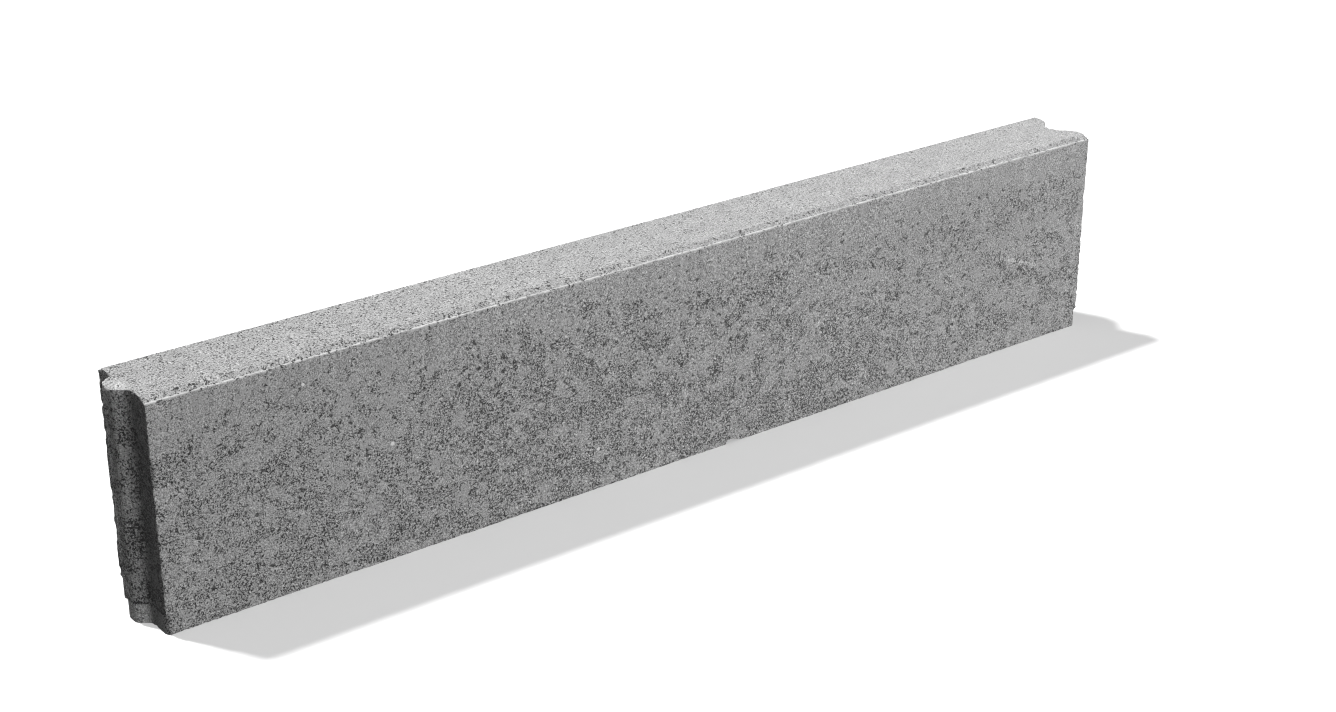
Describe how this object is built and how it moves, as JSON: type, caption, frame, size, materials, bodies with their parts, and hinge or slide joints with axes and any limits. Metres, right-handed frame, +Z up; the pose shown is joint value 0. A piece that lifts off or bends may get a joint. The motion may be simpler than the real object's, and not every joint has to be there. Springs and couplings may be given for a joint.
{
  "type": "concrete kerb stone",
  "caption": "Straight concrete edging kerb with a rounded tongue on its left end, a matching groove in its right end and a pressed border along its long top edges.",
  "frame": {"origin": "middle of the bed face, halfway between the two end faces, the tongue not counted", "axes": "+X along the kerb from the tongue end to the groove end, +Y across the thickness from the front face to the back face, +Z up from the bed face to the top face"},
  "size_m": [1.012, 0.08, 0.2],
  "materials": {
    "concrete": "matte, pitted grey concrete"
  },
  "bodies": {
    "root": {"kerb_stone": "concrete"}
  },
  "joints": []
}
